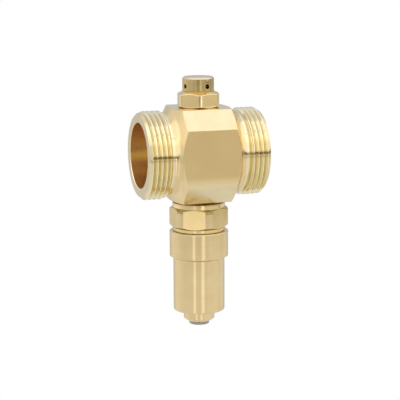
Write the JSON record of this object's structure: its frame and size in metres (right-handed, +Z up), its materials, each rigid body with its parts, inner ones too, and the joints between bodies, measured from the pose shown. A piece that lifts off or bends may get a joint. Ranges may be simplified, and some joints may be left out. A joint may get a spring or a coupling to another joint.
{
  "type": "anti-freeze valve",
  "caption": "Brass anti-freeze valve for a pipe: threaded ends, a thermostatic drain cartridge below that opens near freezing, and an air inlet valve on top.",
  "frame": {"origin": "where the pipe axis meets the upright axis of the air valve and the drain cartridge", "axes": "+X along the pipe, +Z up through the air valve, -Y towards the viewer of the picture"},
  "size_m": [0.059, 0.0442, 0.1198],
  "materials": {
    "brass": "turned and lightly polished",
    "cap_brass": "turned, a little duller",
    "copper": "drawn copper alloy cup",
    "steel": "stainless, as drawn or turned",
    "rubber": "matt black",
    "plastic": "moulded, satin"
  },
  "bodies": {
    "housing": {"valve_body": "brass", "air_valve_body": "brass", "air_cap": "cap_brass", "air_valve_o_ring": "rubber", "air_guide": "plastic", "air_spring": "steel", "cartridge_head": "brass", "head_o_ring": "rubber", "cartridge_barrel": "brass", "barrel_o_ring": "rubber", "drain_nozzle": "brass", "nozzle_o_ring": "rubber", "outlet_sleeve": "steel", "capsule_guide": "brass", "spring_stop": "steel", "retaining_ring": "steel", "overtravel_spring": "steel", "return_spring": "steel"},
    "air_shutter": {"air_plug": "brass", "air_plug_seal": "rubber", "air_spring_cup": "steel", "air_stem_clip": "steel"},
    "thermostat": {"thermostat_capsule": "copper"},
    "drain_shutter": {"drain_plug": "brass", "drain_plug_seal": "rubber", "seal_screw": "steel", "thermostat_piston": "steel"}
  },
  "joints": [
    {"name": "air_opening", "type": "slide", "parent": "housing", "child": "air_shutter", "axis": [0, 0, -1], "range_m": [0, 0.0025], "stiffness_N_per_m": 250, "springref_m": -0.002, "deforming": ["air_spring"]},
    {"name": "drain_opening", "type": "slide", "parent": "housing", "child": "drain_shutter", "axis": [0, 0, 1], "range_m": [0, 0.003], "stiffness_N_per_m": 500, "springref_m": -0.002, "deforming": ["return_spring"]},
    {"name": "thermostat_overtravel", "type": "slide", "parent": "housing", "child": "thermostat", "axis": [0, 0, 1], "range_m": [0, 0.0015], "stiffness_N_per_m": 1500, "springref_m": -0.003, "deforming": ["overtravel_spring"]}
  ]
}
